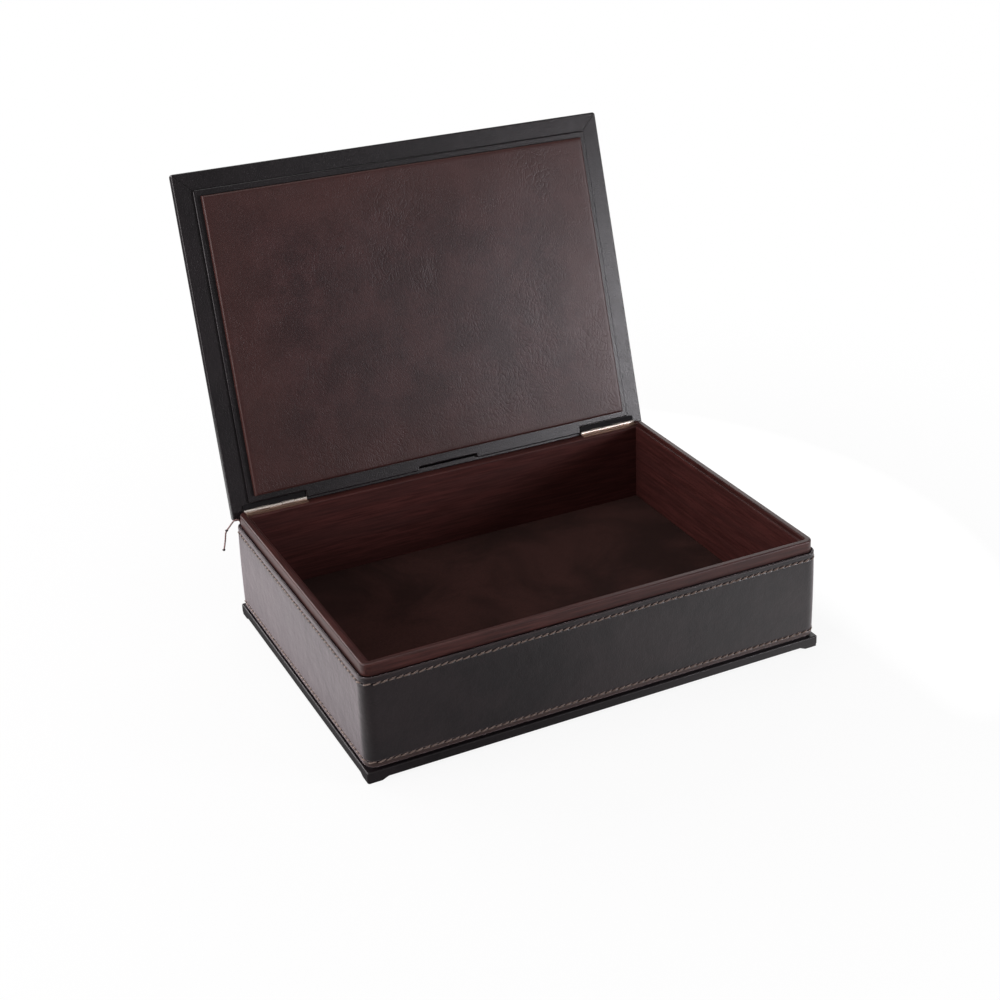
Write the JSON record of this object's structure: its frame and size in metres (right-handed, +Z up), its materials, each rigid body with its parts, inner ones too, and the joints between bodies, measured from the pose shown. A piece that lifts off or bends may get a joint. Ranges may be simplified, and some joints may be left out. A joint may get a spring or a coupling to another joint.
{
  "type": "stationery box",
  "caption": "Leather-covered wooden box for sheets of paper, with a hinged book-like lid padded inside, on a low plinth.",
  "frame": {"origin": "on the surface the box stands on, under the middle of the box with its lid open", "axes": "+Z up, +X to the right along the hinges as seen from the front, -Y the front"},
  "size_m": [0.3472, 0.3212, 0.3141],
  "materials": {
    "wood": "dark stained, satin",
    "wood_inside": "dark stained, satin",
    "wood_hidden": "plain board",
    "card": "grey board",
    "lining": "matt lining cloth",
    "felt": "thin felt",
    "foam": "soft foam",
    "leather_black": "smooth, semi-matt",
    "leather_brown": "smooth, semi-matt, lightly creased",
    "hinge_metal": "bright polished",
    "thread": "waxed thread"
  },
  "bodies": {
    "box": {"front_wall": "wood", "back_wall": "wood", "left_wall": "wood", "right_wall": "wood", "front_liner": "wood_inside", "back_liner": "wood_inside", "left_liner": "wood_inside", "right_liner": "wood_inside", "bottom_board": "wood_hidden", "plinth_board": "wood_hidden", "floor_card": "card", "floor_lining": "lining", "base_felt": "felt", "leather_band": "leather_black", "plinth_leather": "leather_black", "foot_front_left": "leather_black", "foot_front_right": "leather_black", "foot_back_left": "leather_black", "foot_back_right": "leather_black", "hinge_leaf_box_left": "hinge_metal", "hinge_leaf_box_right": "hinge_metal", "hinge_pin_left": "hinge_metal", "hinge_pin_right": "hinge_metal", "hinge_screws_box": "hinge_metal", "tag_thread": "thread", "thread_knots": "thread"},
    "lid": {"lid_board": "card", "lid_cover": "leather_black", "lid_infill": "card", "step_card": "card", "step_leather": "leather_black", "pad_card": "card", "pad_foam": "foam", "pad_leather": "leather_brown", "hinge_leaf_lid_left": "hinge_metal", "hinge_leaf_lid_right": "hinge_metal", "hinge_screws_lid": "hinge_metal"}
  },
  "joints": [
    {"name": "lid_hinge", "type": "hinge", "parent": "box", "child": "lid", "pos_m": [0, 0.08307, 0.0809], "axis": [1, 0, 0], "range_deg": [0, 106.7]}
  ]
}
